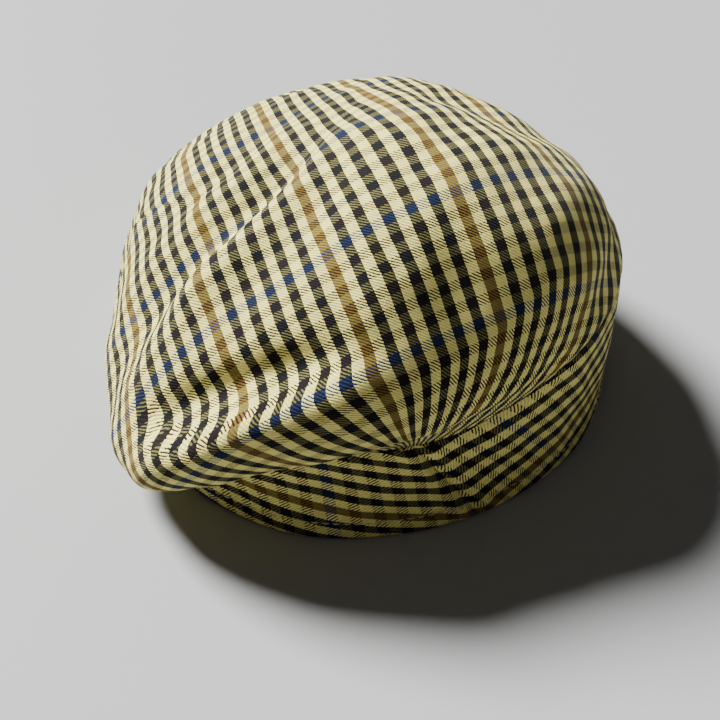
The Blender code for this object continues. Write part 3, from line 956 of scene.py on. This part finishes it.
class CAP_OT_side_panels(bpy.types.Operator):
    """Makes the left and right side panels with their hem."""

    bl_idname = "cap.side_panels"
    bl_label = "Side Panels"

    def execute(self, context):
        for left in (True, False):
            self.panel(left, context.scene.cap_sewing)
        return {"FINISHED"}

    def panel(self, left, sewing):
        """Makes one side panel and sews its hem."""
        grid = side_grid(left)
        outer, normal, length = dressed(grid, False, sewing, False, True, True)
        outer[:, 0, 2] = 0.0
        run = np.linalg.norm(np.diff(grid[:, SIDE_ROWS // 2], axis=0), axis=-1)
        run = np.concatenate([[0.0], np.cumsum(run)])
        away = run if left else run[-1] - run
        dip = sewing.seam_depth * bell(away, sewing.seam_reach)
        lift = sewing.back_roll * bell(away - sewing.back_roll_at, sewing.back_roll_reach)
        outer += normal * ((lift - dip)[:, None] * smooth(length, 0.0, BACK_ROLL_RISE))[..., None]
        if left:
            spread = arc_place(run, length, SIDE_GRAIN)
        else:
            spread = arc_place(run[-1] - run[::-1], length[::-1], SIDE_GRAIN)[::-1] * (1.0, -1.0)
        inner = outer - CLOTH * normal
        inner[:, 0, 2] = 0.0
        inner[..., 2] = np.maximum(inner[..., 2], SIDE_INNER_CLIMB * outer[..., 2])
        points = np.concatenate([outer.reshape(-1, 3), inner.reshape(-1, 3)])
        cloth = np.concatenate([spread.reshape(-1, 2)] * 2)
        side = "left" if left else "right"
        faces = slab_faces(SIDE_COLUMNS, SIDE_ROWS)
        make_piece("side_" + side, points, faces, cloth, cloth_material(), "side_panel_" + side)
        self.stitches("side_" + side + "_stitches", outer, normal, length, sewing)

    def stitches(self, name, outer, normal, length, sewing):
        """Sews one line of stitches along the hem."""
        tall = length[:, -1] > sewing.hem_depth + sewing.stitch_margin
        outer, normal, length = outer[tall], normal[tall], length[tall]
        level = sewing.hem_depth - sewing.stitch_inset
        row = np.array([np.interp(level, column, np.arange(len(column))) for column in length])
        k = np.floor(row).astype(int)
        t = (row - k)[:, None]
        i = np.arange(len(outer))
        path = outer[i, k] * (1.0 - t) + outer[i, k + 1] * t
        out = normal[i, k]
        run = np.concatenate([[0.0], np.cumsum(np.linalg.norm(np.diff(path, axis=0), axis=-1))])
        pitch = sewing.stitch_length + sewing.stitch_gap
        points, faces = [], []
        for start in np.arange(sewing.first_stitch, run[-1] - pitch, pitch):
            faces += [tuple(len(points) + n for n in face) for face in self.stitch_faces()]
            points += self.stitch_points(start, run, path, out, sewing)
        mat = bpy.data.materials.get("hem_thread") or thread_material("hem_thread")
        make_piece(name, points, faces, None, mat)

    def stitch_points(self, start, run, path, out, sewing):
        """Rings of points of one stitch, thick in the middle and sunk at both ends."""
        points = []
        around = np.arange(STITCH_SIDES) * 2.0 * np.pi / STITCH_SIDES
        for share in np.linspace(0.0, 1.0, STITCH_RINGS):
            at = start + share * sewing.stitch_length
            p, n, q = (
                np.array([np.interp(x, run, values[:, axis]) for axis in range(3)])
                for x, values in ((at, path), (at, out), (at + STITCH_LOOK, path)))
            along = (q - p) / np.linalg.norm(q - p)
            side = np.cross(n, along)
            arc = np.sin(np.pi * share)
            radius = 0.5 * sewing.thread * (STITCH_END + (1.0 - STITCH_END) * arc)
            p = p + n * (0.5 * sewing.thread * arc - sewing.stitch_sink)
            points += [p + radius * (np.cos(a) * side + np.sin(a) * n) for a in around]
        return points

    def stitch_faces(self):
        """Faces of one stitch, counted from its first point."""
        faces = []
        for ring in range(STITCH_RINGS - 1):
            low, high = ring * STITCH_SIDES, (ring + 1) * STITCH_SIDES
            for a in range(STITCH_SIDES):
                b = (a + 1) % STITCH_SIDES
                faces.append((low + a, low + b, high + b, high + a))
        last = (STITCH_RINGS - 1) * STITCH_SIDES
        faces.append(tuple(reversed(range(STITCH_SIDES))))
        faces.append(tuple(last + a for a in range(STITCH_SIDES)))
        return faces


class CAP_OT_peak(bpy.types.Operator):
    """Makes the covered peak."""

    bl_idname = "cap.peak"
    bl_label = "Peak"

    def execute(self, context):
        t = np.linspace(-1.0, 1.0, PEAK_COLUMNS)
        angle = 180.0 - t * (180.0 - PEAK_SIDE - PEAK_LAP)
        root = toward(angle, opening_radius(angle) * PEAK_INNER_SHARE)
        sweep = t * np.radians(PEAK_SWEEP)
        edge = np.stack([PEAK_HALF_WIDTH * np.sin(sweep), -PEAK_ROOT - PEAK_REACH * np.cos(sweep)], -1)
        share = 1.0 - (1.0 - np.linspace(0.0, 1.0, PEAK_ROWS)[:, None]) ** PEAK_CROWDING
        plan = root[:, None] * (1.0 - share) + edge[:, None] * share
        run = run_length(plan)
        count = np.arange(PEAK_COLUMNS)
        side = np.minimum(count, count[::-1])[:, None] * PEAK_SIDE_STEP
        near = np.minimum(np.minimum(run[:, -1:] - run, side), PEAK_ROUNDING) / PEAK_ROUNDING
        thick = 0.5 * PEAK_THICKNESS * np.sqrt(np.maximum(1.0 - (1.0 - near) ** 2, PEAK_LEAST))
        middle = peak_top(plan[..., 0]) - 0.5 * PEAK_THICKNESS
        outer, inner = (np.concatenate([plan, (middle + z)[..., None]], -1) for z in (thick, -thick))
        over = run_length(outer)[..., None]
        around = 2.0 * (over[:, -1:] + thick[:, -1:, None]) - over
        aim = (edge - root) / np.linalg.norm(edge - root, axis=-1, keepdims=True)
        cloth = np.concatenate([root[:, None] + aim[:, None] * length for length in (over, around)])
        points = np.concatenate([outer.reshape(-1, 3), inner.reshape(-1, 3)])
        faces = slab_faces(PEAK_COLUMNS, PEAK_ROWS)
        make_piece("peak_cover", points, faces, cloth.reshape(-1, 2), cloth_material(), "peak")
        return {"FINISHED"}


def look_at(obj, target):
    """Points an object's -Z axis at a place."""
    back = obj.location - Vector(target)
    obj.rotation_euler = back.to_track_quat("Z", "Y").to_euler()


class CAP_OT_stage(bpy.types.Operator):
    """Makes the floor, the light and the camera."""

    bl_idname = "cap.stage"
    bl_label = "Stage"

    def execute(self, context):
        stage = context.scene.cap_stage
        self.floor(context, stage)
        light = bpy.data.lights.new("key", "SUN")
        light.energy = stage.key_strength
        light.angle = stage.key_angle
        self.put(context, "key", light, KEY_PLACE)
        world = bpy.data.worlds.new("studio")
        world.use_nodes = True
        background = world.node_tree.nodes["Background"]
        background.inputs["Color"].default_value = (1.0, 1.0, 1.0, 1.0)
        background.inputs["Strength"].default_value = stage.sky
        context.scene.world = world
        data = bpy.data.cameras.new("camera")
        data.lens = stage.lens
        data.sensor_width = SENSOR_WIDTH
        data.shift_x, data.shift_y = (pixels / FRAME_PIXELS for pixels in CAMERA_SHIFT_PIXELS)
        data.clip_start = CAMERA_NEAREST
        context.scene.camera = self.put(context, "camera", data, CAMERA_PLACE)
        return {"FINISHED"}

    def floor(self, context, stage):
        """Makes the floor that the cap lies on."""
        half = stage.floor_half
        corners = [(-half, -half, 0), (half, -half, 0), (half, half, 0), (-half, half, 0)]
        mesh = bpy.data.meshes.new("floor")
        mesh.from_pydata(corners, [], [(0, 1, 2, 3)])
        floor = bpy.data.objects.new("floor", mesh)
        tree = ClothTree("floor_paint")
        tree.shader.inputs["Base Color"].default_value = (*stage.floor, 1.0)
        tree.shader.inputs["Roughness"].default_value = FLOOR_ROUGHNESS
        floor.data.materials.append(tree.material)
        context.scene.collection.objects.link(floor)

    def put(self, context, name, data, place):
        """Puts a light or a camera at a place, looking at the head opening."""
        obj = bpy.data.objects.new(name, data)
        obj.location = np.array(RIM_CENTRE) + place
        look_at(obj, RIM_CENTRE)
        context.scene.collection.objects.link(obj)
        return obj


class CAP_PT_dressing(bpy.types.Panel):
    """Lists the cap's settings and pieces."""

    bl_idname = "CAP_PT_dressing"
    bl_label = "Flat Cap"
    bl_space_type = "VIEW_3D"
    bl_region_type = "UI"
    bl_category = "Flat Cap"

    def draw(self, context):
        for group in (context.scene.cap_cloth, context.scene.cap_sewing, context.scene.cap_stage):
            box = self.layout.box()
            for key in group.__annotations__:
                box.prop(group, key)
        for operator in OPERATORS:
            self.layout.operator(operator.bl_idname)


OPERATORS = (CAP_OT_top_panel, CAP_OT_side_panels, CAP_OT_peak, CAP_OT_stage)
CLASSES = (CapClothSettings, CapSewingSettings, CapStageSettings, *OPERATORS, CAP_PT_dressing)


def register():
    """Registers the classes and their settings."""
    for cls in CLASSES:
        bpy.utils.register_class(cls)
    bpy.types.Scene.cap_cloth = bpy.props.PointerProperty(type=CapClothSettings)
    bpy.types.Scene.cap_sewing = bpy.props.PointerProperty(type=CapSewingSettings)
    bpy.types.Scene.cap_stage = bpy.props.PointerProperty(type=CapStageSettings)


def unregister():
    """Removes the settings and the classes."""
    del bpy.types.Scene.cap_stage
    del bpy.types.Scene.cap_sewing
    del bpy.types.Scene.cap_cloth
    for cls in reversed(CLASSES):
        bpy.utils.unregister_class(cls)


def main():
    """Makes every piece and the stage."""
    register()
    bpy.ops.cap.top_panel()
    bpy.ops.cap.side_panels()
    bpy.ops.cap.peak()
    bpy.ops.cap.stage()


if __name__ == "__main__":
    main()
